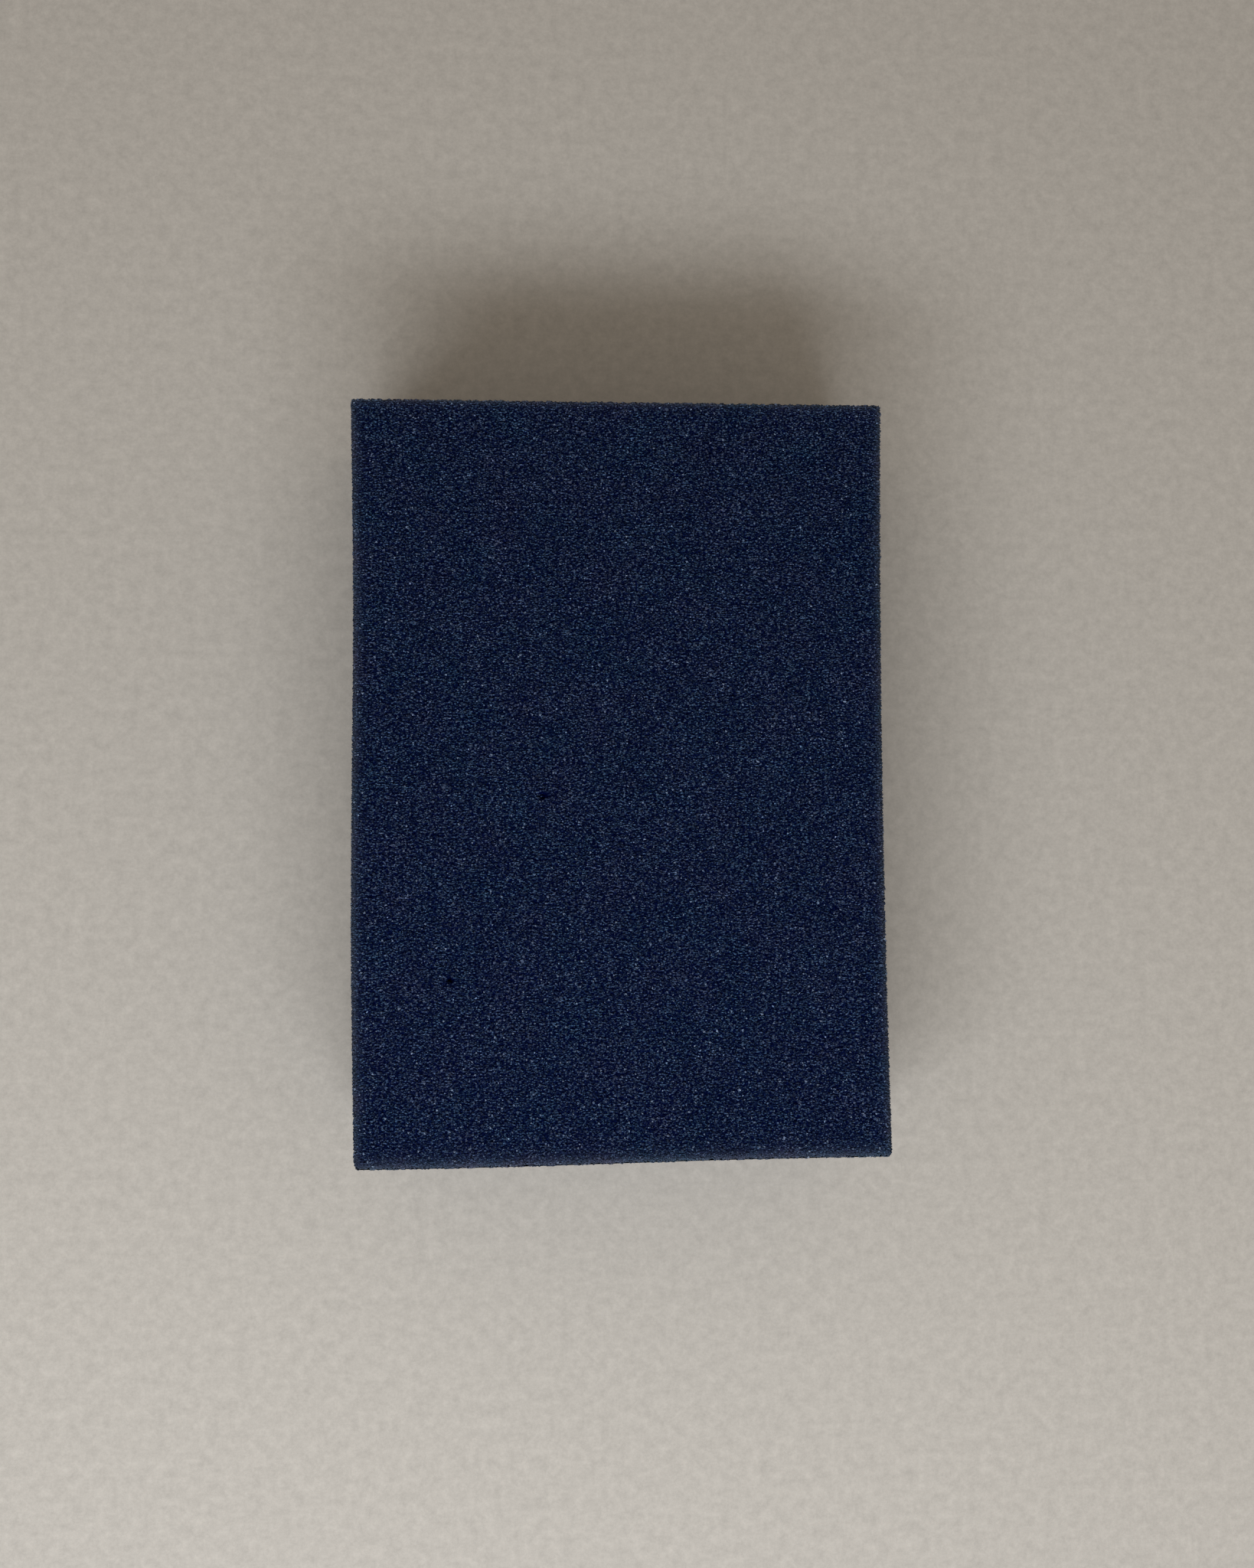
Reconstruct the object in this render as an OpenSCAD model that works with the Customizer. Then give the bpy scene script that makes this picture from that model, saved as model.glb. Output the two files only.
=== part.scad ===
// Foam sanding block, coated on four sides.
// A bar of resilient foam carries a resin film and one layer of abrasive grain
// on its two broad working faces and its two long sides. The two short ends are
// bare foam, where the coated bar was cut to length.
// Millimetres. X runs across the block, Y along it, Z up from the face it lies on.
// The origin is the middle of the underside.

/* [Block] */
// Width over the grit of the two long sides
block_w = 70; // [40:1:120]
// Length between the two cut ends
block_l = 100; // [60:1:180]
// Thickness over the grit of the two broad faces
block_h = 25; // [12:1:50]

/* [Abrasive coat] */
// Thickness of the cured resin film that bonds the grit to the foam
bond_t = 0.15; // [0.1:0.05:0.3]
// Height of the single layer of grains that stands out of the film
grit_t = 0.3; // [0.1:0.05:0.6]

/* [Hidden] */

// One coat, from the foam to the tips of the grains.
coat_t = bond_t + grit_t;
// The foam fills what the coats on its four long faces leave.
foam_w = block_w - 2 * coat_t;
foam_h = block_h - 2 * coat_t;

foam_colour = [0.16, 0.21, 0.33];
film_colour = [0.05, 0.09, 0.19];
grit_colour = [0.11, 0.15, 0.25];

// A plate of the block's full length, centred on X and Y. z is its underside.
module plate(width, thickness, z) {
    translate([-width / 2, -block_l / 2, z])
        cube([width, block_l, thickness]);
}

// A layer on a broad face, as wide as the foam. z is its underside.
module face_layer(thickness, z) {
    plate(foam_w, thickness, z);
}

// A layer on the right long side, as tall as the whole block, so that it covers the
// slit edges of both face coats. x is its inner face.
module side_layer(thickness, x) {
    translate([x, -block_l / 2, 0])
        cube([thickness, block_l, block_h]);
}

module foam_core() {
    color(foam_colour) plate(foam_w, foam_h, coat_t);
}

module top_bond_coat() {
    color(film_colour) face_layer(bond_t, block_h - coat_t);
}

module top_grit() {
    color(grit_colour) face_layer(grit_t, block_h - grit_t);
}

module bottom_bond_coat() {
    color(film_colour) face_layer(bond_t, grit_t);
}

module bottom_grit() {
    color(grit_colour) face_layer(grit_t, 0);
}

module right_bond_coat() {
    color(film_colour) side_layer(bond_t, foam_w / 2);
}

module right_grit() {
    color(grit_colour) side_layer(grit_t, foam_w / 2 + bond_t);
}

module left_bond_coat() {
    color(film_colour) mirror([1, 0, 0]) side_layer(bond_t, foam_w / 2);
}

module left_grit() {
    color(grit_colour) mirror([1, 0, 0]) side_layer(grit_t, foam_w / 2 + bond_t);
}

foam_core();
top_bond_coat();
top_grit();
bottom_bond_coat();
bottom_grit();
left_bond_coat();
left_grit();
right_bond_coat();
right_grit();
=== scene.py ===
import math
from itertools import product

import bpy
import numpy as np
from mathutils import Euler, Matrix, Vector


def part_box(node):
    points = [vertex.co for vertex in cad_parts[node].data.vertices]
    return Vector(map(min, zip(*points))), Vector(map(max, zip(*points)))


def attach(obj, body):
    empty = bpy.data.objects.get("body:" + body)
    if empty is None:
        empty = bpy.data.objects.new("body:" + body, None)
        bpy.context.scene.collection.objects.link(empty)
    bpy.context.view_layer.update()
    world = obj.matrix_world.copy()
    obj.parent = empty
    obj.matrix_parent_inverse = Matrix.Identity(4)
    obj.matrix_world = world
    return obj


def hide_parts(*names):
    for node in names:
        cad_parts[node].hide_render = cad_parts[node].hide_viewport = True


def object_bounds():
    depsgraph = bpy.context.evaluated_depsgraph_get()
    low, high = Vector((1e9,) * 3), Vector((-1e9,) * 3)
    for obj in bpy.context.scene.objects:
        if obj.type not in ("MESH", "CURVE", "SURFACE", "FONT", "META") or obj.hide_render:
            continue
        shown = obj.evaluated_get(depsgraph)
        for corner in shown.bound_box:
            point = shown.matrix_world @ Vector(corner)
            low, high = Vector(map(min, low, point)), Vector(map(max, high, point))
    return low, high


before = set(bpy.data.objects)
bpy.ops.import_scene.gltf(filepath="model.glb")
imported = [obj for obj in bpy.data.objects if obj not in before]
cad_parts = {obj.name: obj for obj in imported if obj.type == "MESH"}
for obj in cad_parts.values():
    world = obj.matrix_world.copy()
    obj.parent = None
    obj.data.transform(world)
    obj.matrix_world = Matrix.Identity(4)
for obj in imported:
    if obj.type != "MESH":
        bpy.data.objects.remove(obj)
cad_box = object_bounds()


# ---------------------------------------------------------------------------------------------
# The foam bar: blown polyurethane foam, skived to a bar and cut to length with a blade. Its two
# short ends are bare, so the blade's cut through the bubbles shows there; its four long faces
# are hidden under the coats.
# ---------------------------------------------------------------------------------------------
MM = 0.001
LOW, HIGH = (np.array(corner) for corner in cad_box)
CENTRE = (LOW + HIGH) / 2
HALF = (HIGH - LOW) / 2
FOAM_LOW, FOAM_HIGH = (np.array(corner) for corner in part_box("foam_core"))

BUBBLE_PITCH = 0.50 * MM
BUBBLE_RADII = (0.30 * MM, 0.42 * MM)
BUBBLE_MARGIN = 3
BARE_DEPTH = 0.40 * MM
RIM_REACH = 0.20 * MM
CUT_SHORT = 0.05 * MM
FOAM_STEP = 0.13 * MM
STATIONS = 15
INSET_SHARES = (0.96, 0.88, 0.72, 0.48, 0.24)

# The block's own small faults, as they lie over half its length.
RIGHT_HOLLOW, RIGHT_LEAN, RIGHT_OUT = 0.53 * MM, 0.05 * MM, 0.12 * MM
LEFT_WAVE, LEFT_TURN, LEFT_PEAK, LEFT_IN = 0.18 * MM, 3.6, 0.49, 0.14 * MM
END_PROUD, END_TWIST = 0.22 * MM, 0.05 * MM

chance = np.random.default_rng(7)
bubble_cells = tuple(int(n) for n in np.ceil((HIGH - LOW) / BUBBLE_PITCH) + 2 * BUBBLE_MARGIN)
bubble_places = chance.random(bubble_cells + (3,))
bubble_radii = BUBBLE_RADII[0] + chance.random(bubble_cells) ** 1.5 * (BUBBLE_RADII[1] - BUBBLE_RADII[0])


def cut_bubbles(place, outward, bridged=0.0):
    """How deep the bubbles that a cut opens go below it, at each place on the cut. A wet coat
    bridges the rim of each, and makes its mouth that much smaller."""
    corner = LOW - BUBBLE_MARGIN * BUBBLE_PITCH
    nearest = np.floor((place - corner) / BUBBLE_PITCH).astype(int)
    depth = np.zeros(place.shape[:-1])
    for step in product((-1, 0, 1), repeat=3):
        cell = np.clip(nearest + step, 0, np.array(bubble_cells) - 1)
        index = tuple(cell[..., axis] for axis in range(3))
        to_middle = corner + (cell + bubble_places[index]) * BUBBLE_PITCH - place
        radius = bubble_radii[index] - bridged
        apart = (to_middle**2).sum(-1)
        above = (to_middle * outward).sum(-1)
        bowl = np.sqrt(np.maximum(radius**2 - apart + above**2, 0)) - above
        depth = np.maximum(depth, np.where(apart < radius**2, bowl, 0))
    return depth


def softened(depth, passes, axes=(0, 1)):
    """Rounds off a relief, as a wet coat or a dull blade does."""
    for _ in range(passes):
        for axis in axes:
            padded = np.pad(depth, [(1, 1) if a == axis else (0, 0) for a in (0, 1)], "edge")
            ahead = padded.take(range(2, padded.shape[axis]), axis)
            behind = padded.take(range(0, padded.shape[axis] - 2), axis)
            depth = (2 * depth + ahead + behind) / 4
    return depth


def as_it_lies(place):
    """Where a place lies with the block's own small faults: its right side is drawn in along the
    middle of its length, its left side waves a little, and the blade left its ends proud."""
    x, y, z = np.moveaxis(place, -1, 0)
    along, across = y / HALF[1], x / HALF[0]
    right = (RIGHT_HOLLOW * along**2 + RIGHT_LEAN * along + RIGHT_OUT) * np.clip(across, 0, 1) ** 3
    left = (LEFT_WAVE * np.cos(LEFT_TURN * (along - LEFT_PEAK)) - LEFT_IN) * np.clip(-across, 0, 1) ** 3
    ends = (END_PROUD + END_TWIST * np.sin(math.pi * across) * (along - 1)) * along**3
    return np.stack([x + right + left, y + ends, z], -1)


def wrapped_mesh(name, rings, v_steps, relief, tones, lids=None):
    """A closed mesh from a row of rings. v_steps are the rings' steps on the map, relief says
    which steps are a relief, and tones are the numbers that each point keeps for its finish.
    The first and last ring are each closed by the faces in lids, or else by one face."""
    count, around = rings.shape[:2]
    lids = lids or [np.arange(around)]
    index = np.arange(count * around).reshape(count, around)
    after = np.roll(index, -1, axis=1)
    quads = np.stack([index[:-1], index[1:], after[1:], after[:-1]], -1).reshape(-1, 4)
    ends = [index[0][lid] for lid in lids] + [index[-1][lid[::-1]] for lid in lids]
    mesh = bpy.data.meshes.new(name)
    mesh.vertices.add(count * around)
    mesh.vertices.foreach_set("co", as_it_lies(rings).astype(np.float32).ravel())
    corners = np.concatenate([quads.ravel(), *ends])
    sizes = np.concatenate([np.full(len(quads), 4), [len(end) for end in ends]])
    mesh.loops.add(len(corners))
    mesh.loops.foreach_set("vertex_index", corners.astype(np.int32))
    mesh.polygons.add(len(sizes))
    starts = np.concatenate([[0], sizes.cumsum()[:-1]])
    mesh.polygons.foreach_set("loop_start", starts.astype(np.int32))
    smooth = np.append(np.tile(relief, count - 1), [False] * len(ends))
    mesh.polygons.foreach_set("use_smooth", smooth)
    u = np.linspace(0, 1, count)
    u_low, v_low = np.meshgrid(u[:-1], v_steps[:-1], indexing="ij")
    u_high, v_high = np.meshgrid(u[1:], v_steps[1:], indexing="ij")
    on_quads = np.stack([u_low, v_low, u_high, v_low, u_high, v_high, u_low, v_high], -1)
    on_ends = []
    for end, way in ((0, 1), (-1, -1)):
        for lid in lids:
            on_ends.append(np.stack([np.full(len(lid), u[end]), v_steps[lid[::way]]], -1))
    places = np.concatenate([on_quads.ravel(), *(end.ravel() for end in on_ends)])
    mesh.uv_layers.new(name="OFBake").uv.foreach_set("vector", places.astype(np.float32))
    for tone, values in tones.items():
        layer = mesh.attributes.new(tone, "FLOAT", "POINT")
        layer.data.foreach_set("value", values.astype(np.float32).ravel())
    mesh.update(calc_edges=True)
    mesh.validate()
    piece = bpy.data.objects.new(name, mesh)
    bpy.context.scene.collection.objects.link(piece)
    return piece


def near_edge(distance, reach):
    """1 at an edge, falling away with the distance from it."""
    return np.exp(-np.maximum(distance, 0) / reach)


foam_across = np.linspace(FOAM_LOW[0], FOAM_HIGH[0], int((FOAM_HIGH[0] - FOAM_LOW[0]) / FOAM_STEP))
foam_up = np.linspace(FOAM_LOW[2], FOAM_HIGH[2], int((FOAM_HIGH[2] - FOAM_LOW[2]) / FOAM_STEP))
end_faces = []
end_depths = []
for way in (-1, 1):
    height = foam_up[::-way]
    cut_at = CENTRE[1] + way * HALF[1]
    face = np.stack(np.broadcast_arrays(foam_across[:, None], cut_at, height[None, :]), -1)
    depth = cut_bubbles(face, np.array([0, way, 0]))
    depth = softened(np.minimum(depth, BARE_DEPTH), 1)
    rim = np.minimum(
        np.minimum(face[..., 0] - FOAM_LOW[0], FOAM_HIGH[0] - face[..., 0]),
        np.minimum(face[..., 2] - FOAM_LOW[2], FOAM_HIGH[2] - face[..., 2]),
    )
    depth = depth * np.clip(rim / RIM_REACH, 0, 1)
    face[..., 1] -= way * (depth + CUT_SHORT)
    end_faces.append(face)
    end_depths.append(depth / BARE_DEPTH)
runs = []
for height, way in ((FOAM_HIGH[2], 1), (FOAM_LOW[2], -1)):
    station = way * np.linspace(-HALF[1], HALF[1], STATIONS + 2)[1:-1] + CENTRE[1]
    runs.append(np.stack(np.broadcast_arrays(foam_across[:, None], station[None, :], height), -1))
foam_rings = np.concatenate([end_faces[0], runs[0], end_faces[1], runs[1]], 1)
# Each cut bubble's depth becomes its pit tone: painted shade inside the open cells.
foam_tone = np.zeros(foam_rings.shape[:2])
second_end = len(foam_up) + STATIONS
foam_tone[:, : len(foam_up)] = end_depths[0]
foam_tone[:, second_end : second_end + len(foam_up)] = end_depths[1]
side_middle = np.array([0, CENTRE[1], (FOAM_LOW[2] + FOAM_HIGH[2]) / 2])
insets = []
for ring in (foam_rings[0], foam_rings[-1]):
    middle = side_middle + np.array([ring[0, 0], 0, 0])
    insets.append([middle + (ring - middle) * share for share in INSET_SHARES])
foam_rings = np.concatenate([insets[0][::-1], foam_rings, insets[1]])
foam_tone = np.pad(foam_tone, ((len(INSET_SHARES), len(INSET_SHARES)), (0, 0)))

# On the map each cut end takes nearly half, and the hidden runs between them a sliver each.
foam_v = np.concatenate(
    [
        np.linspace(0, 0.48, len(foam_up)),
        np.linspace(0.481, 0.499, STATIONS),
        np.linspace(0.5, 0.98, len(foam_up)),
        np.linspace(0.981, 0.999, STATIONS),
        [1.0],
    ]
)
foam_relief = np.zeros(foam_rings.shape[1], bool)
foam_relief[: len(foam_up) - 1] = True
foam_relief[second_end : second_end + len(foam_up) - 1] = True
foam_bar = wrapped_mesh(
    "foam_bar",
    foam_rings,
    foam_v,
    foam_relief,
    {"pit": foam_tone, "arris": np.zeros(foam_tone.shape)},
)


def node_tree(kind, name):
    """An empty shader tree: a material's own, or a group's."""
    if kind == "material":
        material = bpy.data.materials.new(name)
        material.use_nodes = True
        material.node_tree.nodes.clear()
        return material, material.node_tree
    return bpy.data.node_groups.new(name, "ShaderNodeTree")


def place_node(tree, kind, settings=None, **inputs):
    """One node in a tree. An input is a value, or another node's output to link to it."""
    node = tree.nodes.new(kind)
    for name, value in (settings or {}).items():
        setattr(node, name, value)
    for name, value in inputs.items():
        socket = node.inputs[int(name[1:])] if name[0] == "_" else node.inputs[name.replace("_", " ")]
        if isinstance(value, bpy.types.NodeSocket):
            tree.links.new(value, socket)
        else:
            socket.default_value = value
    return node


def rgb(red, green, blue):
    """A solid colour."""
    return (red, green, blue, 1.0)


NOISE_LOW, NOISE_HIGH = 0.3, 0.7
FINE_SCALE, MOTTLE_SCALE, DYE_SCALE = 5200.0, 260.0, 170.0
MOTTLE_LOW, MOTTLE_HIGH = 0.95, 1.05
GREEN_DYE, RED_DYE = rgb(0.80, 1.02, 1.01), rgb(1.20, 0.98, 0.99)

# One group gives foam, film and grain their tone: dark in the pits, which on the foam and the film is
# painted shade; pale at the arrises, partly dust and partly a painted sheen where the rounded arris
# catches the light; and mottled over the face, where the dye took a little unevenly.
cell_tone = node_tree("group", "cell_tone")
for socket_name, socket_type, default in (
    ("Ridge Colour", "NodeSocketColor", rgb(0.1, 0.1, 0.1)),
    ("Pit Colour", "NodeSocketColor", rgb(0.0, 0.0, 0.0)),
    ("Arris Sheen And Dust", "NodeSocketColor", rgb(0.2, 0.2, 0.2)),
    ("Speckle", "NodeSocketFloat", 0.5),
):
    socket = cell_tone.interface.new_socket(socket_name, in_out="INPUT", socket_type=socket_type)
    socket.default_value = default
cell_tone.interface.new_socket("Colour", in_out="OUTPUT", socket_type="NodeSocketColor")
cell_tone.interface.new_socket("Height", in_out="OUTPUT", socket_type="NodeSocketFloat")
given = place_node(cell_tone, "NodeGroupInput")
where = place_node(cell_tone, "ShaderNodeTexCoord")
pit = place_node(cell_tone, "ShaderNodeAttribute", {"attribute_name": "pit"})
arris = place_node(cell_tone, "ShaderNodeAttribute", {"attribute_name": "arris"})
fine = place_node(
    cell_tone,
    "ShaderNodeTexNoise",
    Vector=where.outputs["Object"],
    Scale=FINE_SCALE,
    Detail=2.0,
    Roughness=0.6,
)
mottle = place_node(
    cell_tone,
    "ShaderNodeTexNoise",
    Vector=where.outputs["Object"],
    Scale=MOTTLE_SCALE,
    Detail=3.0,
    Roughness=0.6,
)
# Towards the pit colour: painted shade in the pits of the foam and the film.
in_pit = place_node(cell_tone, "ShaderNodeMapRange", Value=pit.outputs["Fac"], _1=0.0, _2=1.0)
ridge_to_pit = place_node(
    cell_tone,
    "ShaderNodeMix",
    {"data_type": "RGBA"},
    _0=in_pit.outputs["Result"],
    _6=given.outputs["Ridge Colour"],
    _7=given.outputs["Pit Colour"],
)
# Towards the arris colour: dust, and a painted sheen along the arrises.
to_arris = place_node(
    cell_tone,
    "ShaderNodeMix",
    {"data_type": "RGBA"},
    _0=arris.outputs["Fac"],
    _6=ridge_to_pit.outputs[2],
    _7=given.outputs["Arris Sheen And Dust"],
)
speckle_low = place_node(
    cell_tone, "ShaderNodeMath", {"operation": "SUBTRACT"}, _0=1.0, _1=given.outputs["Speckle"]
)
speckle_high = place_node(
    cell_tone, "ShaderNodeMath", {"operation": "ADD"}, _0=1.0, _1=given.outputs["Speckle"]
)
speckle = place_node(
    cell_tone,
    "ShaderNodeMapRange",
    Value=fine.outputs["Fac"],
    _1=NOISE_LOW,
    _2=NOISE_HIGH,
    _3=speckle_low.outputs[0],
    _4=speckle_high.outputs[0],
)
patch = place_node(
    cell_tone,
    "ShaderNodeMapRange",
    Value=mottle.outputs["Fac"],
    _1=NOISE_LOW,
    _2=NOISE_HIGH,
    _3=MOTTLE_LOW,
    _4=MOTTLE_HIGH,
)
strength = place_node(
    cell_tone,
    "ShaderNodeMath",
    {"operation": "MULTIPLY"},
    _0=speckle.outputs["Result"],
    _1=patch.outputs["Result"],
)
toned = place_node(
    cell_tone,
    "ShaderNodeVectorMath",
    {"operation": "SCALE"},
    _0=to_arris.outputs[2],
    Scale=strength.outputs[0],
)
dye = place_node(
    cell_tone,
    "ShaderNodeTexNoise",
    Vector=where.outputs["Object"],
    Scale=DYE_SCALE,
    Detail=4.0,
    Roughness=0.7,
)
dye_spread = place_node(
    cell_tone, "ShaderNodeMapRange", Value=dye.outputs["Fac"], _1=NOISE_LOW, _2=NOISE_HIGH
)
dyed_and_shaded = place_node(
    cell_tone,
    "ShaderNodeMix",
    {"data_type": "RGBA"},
    _0=dye_spread.outputs["Result"],
    _6=GREEN_DYE,
    _7=RED_DYE,
)
tinted = place_node(
    cell_tone, "ShaderNodeVectorMath", {"operation": "MULTIPLY"}, _0=toned.outputs[0], _1=dyed_and_shaded.outputs[2]
)
place_node(cell_tone, "NodeGroupOutput", Colour=tinted.outputs[0], Height=fine.outputs["Fac"])


def finish(
    name,
    ridge,
    pit_colour,
    arris_sheen_and_dust,
    speckle_amount,
    roughness,
    specular,
    bump,
    sheen=0.0,
    glint=(1, 1, 1),
):
    """A finish of this block: a toned, fine-grained surface."""
    material, tree = node_tree("material", name)
    tone = place_node(tree, "ShaderNodeGroup", {"node_tree": cell_tone})
    tone.inputs["Ridge Colour"].default_value = rgb(*ridge)
    tone.inputs["Pit Colour"].default_value = rgb(*pit_colour)
    tone.inputs["Arris Sheen And Dust"].default_value = rgb(*arris_sheen_and_dust)
    tone.inputs["Speckle"].default_value = speckle_amount
    rough_grain = place_node(
        tree,
        "ShaderNodeMapRange",
        Value=tone.outputs["Height"],
        _1=NOISE_LOW,
        _2=NOISE_HIGH,
        _3=roughness[0],
        _4=roughness[1],
    )
    raised = place_node(tree, "ShaderNodeBump", Strength=1.0, Distance=bump, Height=tone.outputs["Height"])
    surface = place_node(
        tree,
        "ShaderNodeBsdfPrincipled",
        Base_Color=tone.outputs["Colour"],
        Roughness=rough_grain.outputs["Result"],
        Normal=raised.outputs["Normal"],
    )
    surface.inputs["Specular IOR Level"].default_value = specular
    surface.inputs["Specular Tint"].default_value = rgb(*glint)
    surface.inputs["Sheen Weight"].default_value = sheen
    surface.inputs["Sheen Roughness"].default_value = 0.5
    place_node(tree, "ShaderNodeOutputMaterial", Surface=surface.outputs["BSDF"])
    return material


# Its pit colour is painted shade in the cut bubbles.
foam_finish = finish(
    "bare_foam",
    ridge=(0.052, 0.073, 0.128),
    pit_colour=(0.003, 0.006, 0.018),
    arris_sheen_and_dust=(0.06, 0.075, 0.11),
    speckle_amount=0.4,
    roughness=(0.75, 0.95),
    specular=0.2,
    bump=0.03 * MM,
    sheen=0.1,
)
foam_bar.data.materials.append(foam_finish)
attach(foam_bar, "root")
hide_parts("foam_core")


# ---------------------------------------------------------------------------------------------
# The bond coats: a flexible resin film on each of the four long faces, sprayed on wet over the
# cut bubbles and drawn out across the face. It rides up over the grit's feet, so it is rough
# itself, and it sets over the arrises, where two coats meet.
# ---------------------------------------------------------------------------------------------
FILM_BELOW = 0.10 * MM
ARRIS_RADIUS = 0.65 * MM
STEP_ACROSS = 0.13 * MM
STEP_ALONG = 0.10 * MM
BRIDGED = 0.11 * MM
BOWL_SHARE = 0.3
BOWL_DEPTH = 0.10 * MM
RISE = 0.105 * MM
HIGHEST = 0.16 * MM
PEAKEDNESS = 0.35
STEP_SHIFT = 0.3
RAGGED, RAGGED_MOST, RAGGED_REACH = 0.20 * MM, 0.05 * MM, 0.30 * MM
INNER_SHORT = 0.06 * MM
NEAR_CUT_ROLL = 0.45 * MM
FAR_CUT_ROLL = 0.12 * MM
CUT_ROLL_REACH = 0.90 * MM
# How far the pale band at the cut ends and arrises reaches: dust and painted sheen, wider at the near end,
# which faces the window, as painted highlight.
NEAR_CUT_HIGHLIGHT_REACH = 0.60 * MM
FAR_CUT_SHEEN_REACH = 0.32 * MM
ARRIS_SHEEN_REACH = 0.38 * MM
PIT_SHADE_FROM, PIT_SHADE_RISE, PIT_SHADE_POWER, NEAR_END_SHADE = 1.4, 0.28, 4.15, 0.09

# Its ridge and pit colours are partly the coat's own tone, partly painted highlight on the rises and
# painted shade in the dips.
film_finish = finish(
    "bond_resin",
    ridge=(0.079, 0.135, 0.245),
    pit_colour=(0.0, 0.0012, 0.0185),
    arris_sheen_and_dust=(0.060, 0.074, 0.105),
    speckle_amount=0.95,
    roughness=(0.4, 0.7),
    specular=0.0,
    bump=0.02 * MM,
)

# Two bubbles of the top face blew large: place across and along, and radius. Each is drawn out across the
# face, has a soft and ragged rim, and its bare floor is sunk and toned dark, as painted shade in the
# hollow.
BLOWN = (((-10.35, -2.2), 0.52 * MM), ((-22.4, -26.0), 0.36 * MM))
BLOWN_DEPTH = 0.16 * MM
BLOWN_SQUEEZE, BLOWN_RIM, BLOWN_RAGGED, BLOWN_SHADE = 0.62, 2.2, 0.2, 1.6


def rolled(across, half_across, half_out):
    """Points on a face and on its halves of the two arrises, and which way each faces."""
    flat = half_across - ARRIS_RADIUS
    turn = np.clip((np.abs(across) - flat) / ARRIS_RADIUS, 0, math.pi / 4)
    side = np.sign(across)
    along_face = np.where(turn > 0, side * (flat + ARRIS_RADIUS * np.sin(turn)), across)
    outward = half_out - ARRIS_RADIUS * (1 - np.cos(turn))
    return along_face, outward, side * np.sin(turn), np.cos(turn)


def rough_height(shape):
    """The rise and fall that the grit gives a wet film: sharp peaks over shallow dips, drawn out
    along the first axis. Its mean is 0 and its spread 1."""
    drops = chance.normal(0, 1, shape)
    height = drops + 0.8 * softened(drops, 1, axes=(0,)) - 0.7 * softened(drops, 1, axes=(1,))
    height -= softened(drops, 4)
    height = np.exp(PEAKEDNESS * height / height.std())
    return (height - height.mean()) / height.std()


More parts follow.
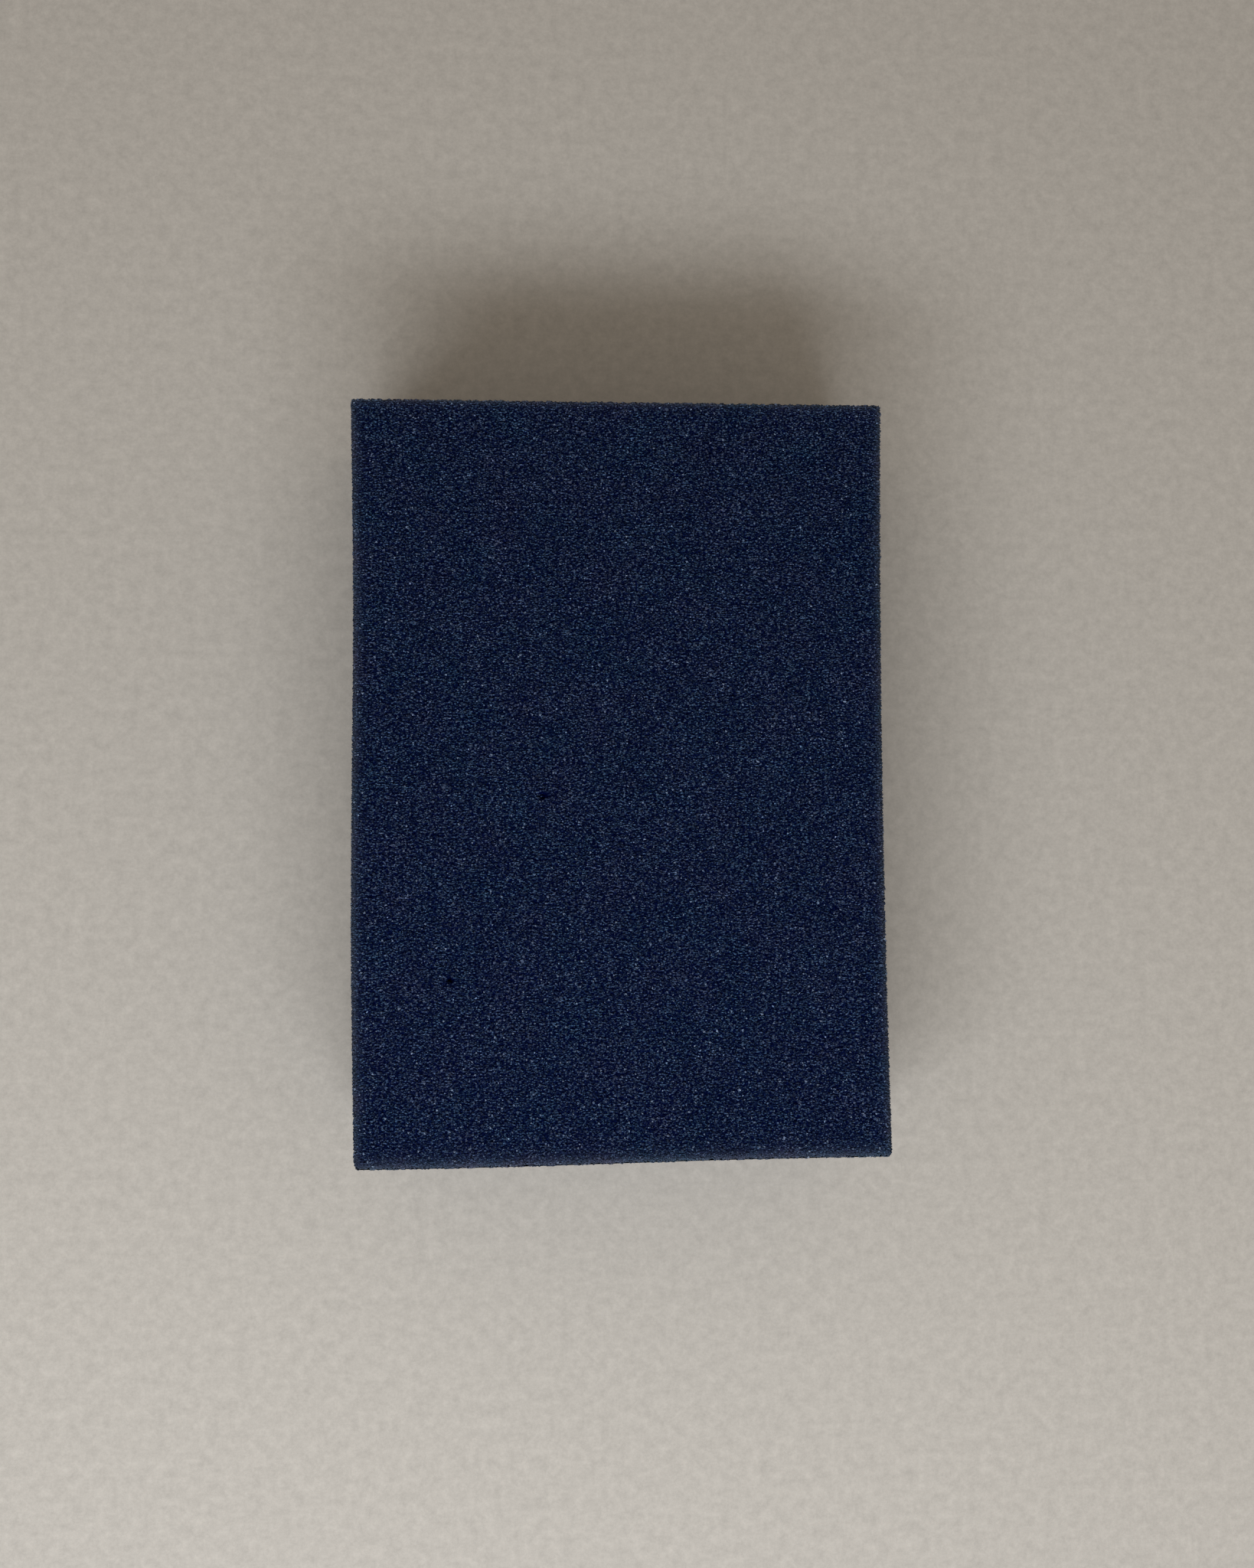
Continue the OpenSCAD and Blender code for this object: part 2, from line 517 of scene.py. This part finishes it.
def bond_coat(name, node, across_axis, out_axis, blown=()):
    """One face's film, from the middle of one arris to the middle of the next."""
    across_axis, out_axis = np.array(across_axis, float), np.array(out_axis, float)
    half_across = abs(across_axis @ HALF) - FILM_BELOW
    half_out = abs(out_axis @ HALF) - FILM_BELOW
    reach = half_across - ARRIS_RADIUS + ARRIS_RADIUS * math.pi / 4
    across = np.linspace(-reach, reach, int(2 * reach / STEP_ACROSS))
    along = np.linspace(-HALF[1], HALF[1], int(2 * HALF[1] / STEP_ALONG))
    on_face, out, lean, stand = rolled(across, half_across, half_out)
    section = CENTRE + on_face[:, None] * across_axis + out[:, None] * out_axis
    facing = lean[:, None] * across_axis + stand[:, None] * out_axis
    surface = np.repeat(section[:, None], len(along), 1)
    surface[..., 1] = CENTRE[1] + along
    facing = np.repeat(facing[:, None], len(along), 1)

    bowls = softened(np.minimum(cut_bubbles(surface, facing, BRIDGED) * BOWL_SHARE, BOWL_DEPTH), 2)
    height = rough_height(bowls.shape)
    bare = np.zeros(bowls.shape)
    for (x, y), radius in blown:
        apart = np.hypot((surface[..., 0] - x * MM) * BLOWN_SQUEEZE, surface[..., 1] - y * MM) / radius
        floor = BLOWN_RIM - BLOWN_RIM * apart + BLOWN_RAGGED * height
        bare = np.maximum(bare, np.clip(floor, 0, 1))
    bowls += BLOWN_DEPTH * bare
    # Sinks the blown floor and tones it dark: painted shade in the hollow.
    height -= BLOWN_SHADE * bare
    rise = np.minimum(RISE * height, HIGHEST) - bowls
    from_cut = HALF[1] - np.abs(along)
    from_arris = (half_across - np.abs(on_face))[:, None]
    roll = np.where(along < 0, NEAR_CUT_ROLL, FAR_CUT_ROLL)
    roll = roll * np.clip(1 - from_cut / CUT_ROLL_REACH, 0, 1) ** 2
    cut_sheen_reach = np.where(along < 0, NEAR_CUT_HIGHLIGHT_REACH, FAR_CUT_SHEEN_REACH)
    relief = surface + facing * (rise - roll)[..., None]
    ragged = softened(chance.normal(0, RAGGED, rise.shape), 1)
    ragged = ragged * np.clip(1 - from_cut / RAGGED_REACH, 0, 1)
    relief[..., 1] += np.sign(along) * np.minimum(ragged, RAGGED_MOST)
    shift = chance.uniform(-STEP_SHIFT, STEP_SHIFT, rise.shape + (2,))
    shift[[0, -1]] = 0
    shift[:, [0, -1]] = 0
    sideways = np.cross(facing, (0.0, 1.0, 0.0))
    relief += sideways * shift[..., :1] * STEP_ACROSS
    relief[..., 1] += shift[..., 1] * STEP_ALONG
    relief[..., 2] = np.maximum(relief[..., 2], LOW[2])

    film_low, film_high = (np.array(corner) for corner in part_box(node))
    inner_out = min(abs(out_axis @ (film_low - CENTRE)), abs(out_axis @ (film_high - CENTRE)))
    inner_across = abs(across_axis @ (FOAM_HIGH - CENTRE))
    inner_places = np.clip(on_face, -inner_across, inner_across)[:, None]
    inner = CENTRE + inner_places * across_axis + inner_out * out_axis
    inner_rows = np.repeat(inner[:, None], STATIONS, 1)
    inner_rows[..., 1] = CENTRE[1] + np.linspace(1, -1, STATIONS) * (HALF[1] - INNER_SHORT)
    rings = np.concatenate([relief, inner_rows], 1)
    # The pale band at the arrises and cut ends, kept as the arris tone: dust and a painted sheen.
    edge = np.maximum(near_edge(from_arris, ARRIS_SHEEN_REACH), near_edge(from_cut, cut_sheen_reach)[None, :])
    blank = np.zeros((len(across), STATIONS))
    # On the map the relief takes nearly all, and the hidden inner face the sliver left.
    v_steps = np.concatenate([np.linspace(0, 0.98, len(along)), np.linspace(0.981, 1.0, STATIONS + 1)])
    is_relief = np.arange(len(along) + STATIONS) < len(along) - 1
    # The film is toned by its height: pale on the rises and dark in the dips, as painted highlight and
    # painted shade over the coat's own tone.
    dyed_and_shaded = np.clip(PIT_SHADE_RISE * (height + PIT_SHADE_FROM), 0, 1) ** PIT_SHADE_POWER
    # Painted shade: the face is toned darker towards its near end and lighter towards its far end, for how
    # its relief shades itself seen from above.
    dyed_and_shaded = dyed_and_shaded * (1 + NEAR_END_SHADE * along / HALF[1])
    tones = {
        "pit": np.concatenate([1 - np.minimum(dyed_and_shaded, 1), blank], 1),
        "arris": np.concatenate([edge, blank + 1], 1),
    }
    # Each arris end is closed in short lengths, so that it follows a side that is drawn in.
    stops = np.linspace(len(along) - 1, 0, STATIONS).astype(int)
    lids = [
        np.append(np.arange(stops[k + 1], stops[k] + 1), (len(along) + k, len(along) + k + 1))
        for k in range(STATIONS - 1)
    ]
    film = wrapped_mesh(name, rings, v_steps, is_relief, tones, lids)
    film.data.materials.append(film_finish)
    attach(film, "root")
    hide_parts(node)
    return relief, facing, edge, bare


FACES = {
    "top": ((1, 0, 0), (0, 0, 1), BLOWN),
    "bottom": ((-1, 0, 0), (0, 0, -1), ()),
    "left": ((0, 0, 1), (-1, 0, 0), ()),
    "right": ((0, 0, -1), (1, 0, 0), ()),
}
films = {}
for side, (across_axis, out_axis, blown) in FACES.items():
    films[side] = bond_coat(side + "_film", side + "_bond_coat", across_axis, out_axis, blown)


# ---------------------------------------------------------------------------------------------
# The grit: one layer of hard, sharp grains dropped on each wet film, which wets their feet and holds them.
# Each is a small broken crystal. A few of the small ones are toned pale: painted glints.
# ---------------------------------------------------------------------------------------------
GRAIN_SIZES = (0.17 * MM, 0.45 * MM)
GRAIN_PITCH = 0.465 * MM
GRAIN_STRAY = 0.45
GRAIN_BREAK = 0.3
GRAIN_STRETCH = (0.7, 1.2)
GRAIN_LIFT = 0.12
GRAIN_TIP = 0.03 * MM
BARE_LIMIT = 0.2
PLAIN_DARK = 0.67
PAINTED_GLINT_DARK = 0.35
PAINTED_GLINT_SHARE = 0.07
PAINTED_GLINT_SIZE = 0.27 * MM
CRYSTAL = np.array([(1, 0, 0), (-0.5, 0.87, 0), (-0.5, -0.87, 0), (0, 0, 1.1), (0, 0, -1.1)])
CRYSTAL_FACES = np.array([(0, 1, 3), (1, 2, 3), (2, 0, 3), (1, 0, 4), (2, 1, 4), (0, 2, 4)])

# The grains' ridge colour is pale: the few grains toned fully to it are painted glints.
grit_finish = finish(
    "grain",
    ridge=(0.198, 0.282, 0.459),
    pit_colour=(0.0, 0.0032, 0.022),
    arris_sheen_and_dust=(0.060, 0.076, 0.112),
    speckle_amount=0.5,
    roughness=(0.14, 0.36),
    specular=0.42,
    bump=0.01 * MM,
    glint=(0.66, 0.80, 1.0),
)


def turns(count):
    """Random rotations, one matrix each."""
    q = chance.normal(size=(count, 4))
    w, x, y, z = (q / np.linalg.norm(q, axis=1)[:, None]).T
    rows = [
        [1 - 2 * (y * y + z * z), 2 * (x * y - z * w), 2 * (x * z + y * w)],
        [2 * (x * y + z * w), 1 - 2 * (x * x + z * z), 2 * (y * z - x * w)],
        [2 * (x * z - y * w), 2 * (y * z + x * w), 1 - 2 * (x * x + y * y)],
    ]
    return np.moveaxis(np.array(rows), -1, 0)


def grit_coat(name, node, relief, facing, edge, bare):
    """Grains seated at random on a film, but for where a bubble blew and left none to hold."""
    rows = int(STEP_ACROSS * relief.shape[0] / GRAIN_PITCH)
    columns = int(2 * HALF[1] / GRAIN_PITCH)
    count = rows * columns
    seat = np.stack(np.meshgrid(np.arange(rows), np.arange(columns), indexing="ij")).reshape(2, -1)
    seat = seat + 0.5 + chance.uniform(-GRAIN_STRAY, GRAIN_STRAY, (2, count))
    seat = seat / np.array([[rows], [columns]])
    seat *= np.array([[relief.shape[0] - 1.001], [relief.shape[1] - 1.001]])
    seat = seat[:, bare[tuple(seat.astype(int))] < BARE_LIMIT]
    count = seat.shape[1]
    row, column = seat.astype(int)
    over, beyond = (seat % 1)[..., None]

    def seated(grid):
        near = grid[row, column] * (1 - beyond) + grid[row, column + 1] * beyond
        far = grid[row + 1, column] * (1 - beyond) + grid[row + 1, column + 1] * beyond
        return near * (1 - over) + far * over

    # Grains near an arris take the pale band too: dust and a painted sheen.
    place, out, grain_sheen_and_dust = seated(relief), seated(facing), seated(edge[..., None])[:, 0]
    size = GRAIN_SIZES[0] + chance.random(count) ** 1.6 * (GRAIN_SIZES[1] - GRAIN_SIZES[0])
    broken = CRYSTAL * (1 + chance.uniform(-GRAIN_BREAK, GRAIN_BREAK, (count, len(CRYSTAL), 3)))
    stretch = chance.uniform(*GRAIN_STRETCH, (count, 1, 3))
    shapes = np.einsum("nij,nkj->nki", turns(count), broken * stretch) * size[:, None, None] / 2
    points = place[:, None] + shapes + (out * size[:, None] * GRAIN_LIFT)[:, None]
    tips = HALF + GRAIN_TIP
    points = np.clip(points, CENTRE - tips, CENTRE + tips)
    points[..., 2] = np.maximum(points[..., 2], LOW[2])

    faces = (np.arange(count)[:, None, None] * len(CRYSTAL) + CRYSTAL_FACES).reshape(-1, 3)
    mesh = bpy.data.meshes.new(name)
    mesh.vertices.add(count * len(CRYSTAL))
    mesh.vertices.foreach_set("co", as_it_lies(points).astype(np.float32).ravel())
    mesh.loops.add(faces.size)
    mesh.loops.foreach_set("vertex_index", faces.astype(np.int32).ravel())
    mesh.polygons.add(len(faces))
    mesh.polygons.foreach_set("loop_start", np.arange(0, faces.size, 3, dtype=np.int32))
    mesh.polygons.foreach_set("use_smooth", np.zeros(len(faces), bool))
    dark = PLAIN_DARK + (1 - PLAIN_DARK) * chance.random(count) ** 0.5
    # A few small grains are toned pale, near the ridge colour: painted glints, not clear crystals.
    clear = (chance.random(count) < PAINTED_GLINT_SHARE) & (size < PAINTED_GLINT_SIZE)
    dark = np.where(clear, PAINTED_GLINT_DARK * chance.random(count), dark)
    pit_tone = mesh.attributes.new("pit", "FLOAT", "POINT")
    pit_tone.data.foreach_set("value", np.repeat(dark, len(CRYSTAL)).astype(np.float32))
    arris_tone = mesh.attributes.new("arris", "FLOAT", "POINT")
    arris_tone.data.foreach_set("value", np.repeat(grain_sheen_and_dust, len(CRYSTAL)).astype(np.float32))
    mesh.update(calc_edges=True)
    spread = [axis for axis in range(3) if axis != int(np.abs(out.mean(0)).argmax())]
    on_map = (points[..., spread].reshape(-1, 2)[faces.ravel()] - LOW[spread]) / (HIGH - LOW)[spread]
    mesh.uv_layers.new(name="OFBake").uv.foreach_set("vector", on_map.astype(np.float32).ravel())
    grains = bpy.data.objects.new(name, mesh)
    bpy.context.scene.collection.objects.link(grains)
    grains.data.materials.append(grit_finish)
    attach(grains, "root")
    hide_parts(node)
    return grains


for side, made in films.items():
    grit_coat(side + "_grains", side + "_grit", *made)


# ---------------------------------------------------------------------------------------------
# The stage: a sheet of grey-beige paper under the block, a wide low window on the near side and
# a soft warm room around it, with the camera almost straight above.
# ---------------------------------------------------------------------------------------------
PAPER = (0.45, 0.42, 0.375)
PAPER_DARKER, PAPER_PALER = 0.86, 1.14
PAPER_SCALE = 520.0
PAPER_REACH = 3.0
ROOM_COLOUR = (1.0, 0.905, 0.800)
ROOM_STRENGTH = 0.403
WINDOW_WIDE, WINDOW_TALL, WINDOW_POWER = 0.53, 0.13, 2.12
WINDOW_COLOUR = (0.86, 0.908, 0.975)
WINDOW_HEIGHT, WINDOW_TURN, WINDOW_AWAY = math.radians(45.5), math.radians(-13), 0.44
CAMERA_PLACE = (-0.0165, -0.01025, 0.2355)
CAMERA_TURN = (math.radians(2.64), math.radians(-4.66), math.radians(-0.57))

paper_mesh = bpy.data.meshes.new("paper")
paper_corners = [(x * PAPER_REACH, y * PAPER_REACH, 0) for x, y in ((-1, -1), (1, -1), (1, 1), (-1, 1))]
paper_mesh.from_pydata(paper_corners, [], [(0, 1, 2, 3)])
paper = bpy.data.objects.new("paper", paper_mesh)
bpy.context.scene.collection.objects.link(paper)
paper_finish, paper_tree = node_tree("material", "paper")
paper_where = place_node(paper_tree, "ShaderNodeTexCoord")
paper_grain = place_node(
    paper_tree,
    "ShaderNodeTexNoise",
    Vector=paper_where.outputs["Object"],
    Scale=PAPER_SCALE,
    Detail=5.0,
    Roughness=0.88,
)
paper_spread = place_node(
    paper_tree, "ShaderNodeMapRange", Value=paper_grain.outputs["Fac"], _1=NOISE_LOW, _2=NOISE_HIGH
)
paper_tone = place_node(
    paper_tree,
    "ShaderNodeMix",
    {"data_type": "RGBA"},
    _0=paper_spread.outputs["Result"],
    _6=rgb(*(PAPER_DARKER * tone for tone in PAPER)),
    _7=rgb(*(PAPER_PALER * tone for tone in PAPER)),
)
paper_surface = place_node(paper_tree, "ShaderNodeBsdfPrincipled", Base_Color=paper_tone.outputs[2])
paper_surface.inputs["Roughness"].default_value = 0.95
paper_surface.inputs["Specular IOR Level"].default_value = 0.1
place_node(paper_tree, "ShaderNodeOutputMaterial", Surface=paper_surface.outputs["BSDF"])
paper.data.materials.append(paper_finish)

window_light = bpy.data.lights.new("window", "AREA")
window_light.shape = "RECTANGLE"
window_light.size = WINDOW_WIDE
window_light.size_y = WINDOW_TALL
window_light.energy = WINDOW_POWER
window_light.color = WINDOW_COLOUR
window = bpy.data.objects.new("window", window_light)
window.location = WINDOW_AWAY * Vector(
    (
        math.cos(WINDOW_HEIGHT) * math.sin(WINDOW_TURN),
        -math.cos(WINDOW_HEIGHT) * math.cos(WINDOW_TURN),
        math.sin(WINDOW_HEIGHT),
    )
)
window.rotation_euler = (Vector(CENTRE) - window.location).to_track_quat("-Z", "Y").to_euler()
bpy.context.scene.collection.objects.link(window)

room = bpy.data.worlds.new("room")
room.use_nodes = True
room.node_tree.nodes.clear()
room_light = place_node(
    room.node_tree, "ShaderNodeBackground", Color=rgb(*ROOM_COLOUR), Strength=ROOM_STRENGTH
)
far_paper = rgb(*(ROOM_STRENGTH * light * tone for light, tone in zip(ROOM_COLOUR, PAPER)))
room_seen = place_node(room.node_tree, "ShaderNodeBackground", Color=far_paper, Strength=1.0)
seen_by = place_node(room.node_tree, "ShaderNodeLightPath")
room_mix = place_node(
    room.node_tree,
    "ShaderNodeMixShader",
    _0=seen_by.outputs["Is Camera Ray"],
    _1=room_light.outputs["Background"],
    _2=room_seen.outputs["Background"],
)
place_node(room.node_tree, "ShaderNodeOutputWorld", Surface=room_mix.outputs["Shader"])
bpy.context.scene.world = room

camera_data = bpy.data.cameras.new("camera")
camera_data.lens = 36.9
camera_data.sensor_width = 36.0
camera_data.clip_start = 0.01
camera = bpy.data.objects.new("camera", camera_data)
camera.location = Vector(CAMERA_PLACE)
camera.rotation_euler = Euler(CAMERA_TURN, "XYZ")
bpy.context.scene.collection.objects.link(camera)
bpy.context.scene.camera = camera
bpy.context.scene.view_settings.view_transform = "Standard"
